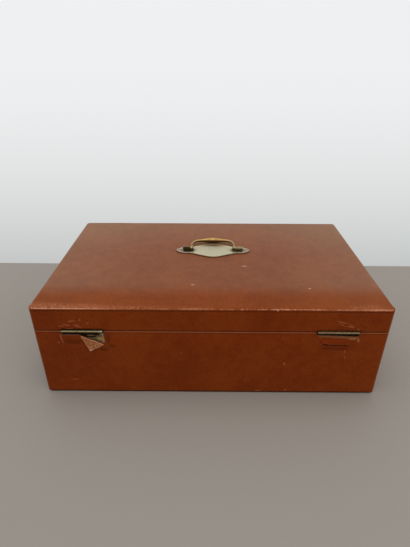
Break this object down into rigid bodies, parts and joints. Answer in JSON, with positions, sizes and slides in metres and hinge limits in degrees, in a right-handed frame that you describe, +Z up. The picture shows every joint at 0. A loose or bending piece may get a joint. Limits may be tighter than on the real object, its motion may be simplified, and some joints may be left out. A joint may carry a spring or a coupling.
{
  "type": "cutlery chest",
  "caption": "Leather-covered box with a hinged lid, folding bail handle, box lock with key, padded lid lining, lift-out slotted tray and racks below it for cutlery.",
  "frame": {"origin": "middle of the underside, at the middle of the box's width and depth", "axes": "+X along the width, +Y towards the front with the lock, -Y the hinge side that the picture shows, +Z up"},
  "size_m": [0.42, 0.297, 0.1374],
  "materials": {
    "leather": "pebbled, waxed, worn at the edges",
    "leather_flesh": "fleshy underside of the torn cover",
    "pine": "planed, unvarnished",
    "felt": "pressed felt",
    "velvet": "short pile",
    "covered_wood": "wood covered in velvet",
    "satin": "padded satin",
    "ribbon": "woven ribbon",
    "aged_brass": "dull, aged",
    "gilt_brass": "polished, worn gilding",
    "plate_brass": "pale, satin",
    "dark_bronze": "dark patina",
    "steel": "plain, slightly dulled"
  },
  "bodies": {
    "chest": {"base_felt": "felt", "base_board": "pine", "front_board": "pine", "back_board": "pine", "left_board": "pine", "right_board": "pine", "body_leather": "leather", "torn_leather_flap": "leather_flesh", "wall_lining": "velvet", "floor_lining": "velvet", "lower_rack_left": "covered_wood", "lower_rack_right": "covered_wood", "tray_ledge_left": "covered_wood", "tray_ledge_right": "covered_wood", "body_hinge_leaf_left": "aged_brass", "body_hinge_leaf_right": "aged_brass", "hinge_pin_left": "aged_brass", "hinge_pin_right": "aged_brass", "body_hinge_nail_left_1": "aged_brass", "body_hinge_nail_left_2": "aged_brass", "body_hinge_nail_right_1": "aged_brass", "body_hinge_nail_right_2": "aged_brass", "lock_case": "aged_brass", "lock_screw_left": "steel", "lock_screw_right": "steel", "escutcheon": "gilt_brass"},
    "lid": {"lid_top_board": "pine", "lid_front_rail": "pine", "lid_back_rail": "pine", "lid_left_rail": "pine", "lid_right_rail": "pine", "lid_leather": "leather", "lid_wall_lining": "satin", "lid_cushion": "satin", "lid_hinge_leaf_left": "aged_brass", "lid_hinge_leaf_right": "aged_brass", "lid_hinge_nail_left_1": "aged_brass", "lid_hinge_nail_left_2": "aged_brass", "lid_hinge_nail_right_1": "aged_brass", "lid_hinge_nail_right_2": "aged_brass", "link_plate": "aged_brass", "link_screw_left": "steel", "link_screw_right": "steel", "handle_plate": "plate_brass", "handle_post_left": "dark_bronze", "handle_post_right": "dark_bronze", "handle_nut_left": "steel", "handle_nut_right": "steel"},
    "bail": {"bail": "gilt_brass"},
    "tray": {"tray_base": "covered_wood", "tray_front_wall": "covered_wood", "tray_back_wall": "covered_wood", "tray_left_wall": "covered_wood", "tray_right_wall": "covered_wood", "tray_rack_back": "covered_wood", "tray_rack_front": "covered_wood", "tray_tab_left": "ribbon", "tray_tab_right": "ribbon"},
    "bolt": {"lock_bolt": "steel"},
    "key": {"key": "steel"}
  },
  "joints": [
    {"name": "lid_hinge", "type": "hinge", "parent": "chest", "child": "lid", "pos_m": [0, -0.1312, 0.0967], "axis": [1, 0, 0], "range_deg": [0, 105]},
    {"name": "bail_swing", "type": "hinge", "parent": "lid", "child": "bail", "pos_m": [0.003, 0.0188, 0.1343], "axis": [1, 0, 0], "range_deg": [0, 180]},
    {"name": "key_turn", "type": "hinge", "parent": "chest", "child": "key", "pos_m": [0, 0.1268, 0.07985], "axis": [0, 1, 0], "range_deg": [0, 360]},
    {"name": "bolt_slide", "type": "slide", "parent": "chest", "child": "bolt", "axis": [1, 0, 0], "range_m": [0, 0.005]},
    {"name": "tray_lift", "type": "slide", "parent": "chest", "child": "tray", "axis": [0, 0, 1], "range_m": [0, 0.014]}
  ],
  "couplings": [
    {"joint": "key_turn", "follows": "bolt_slide", "rad_per_m": 1256.6}
  ]
}
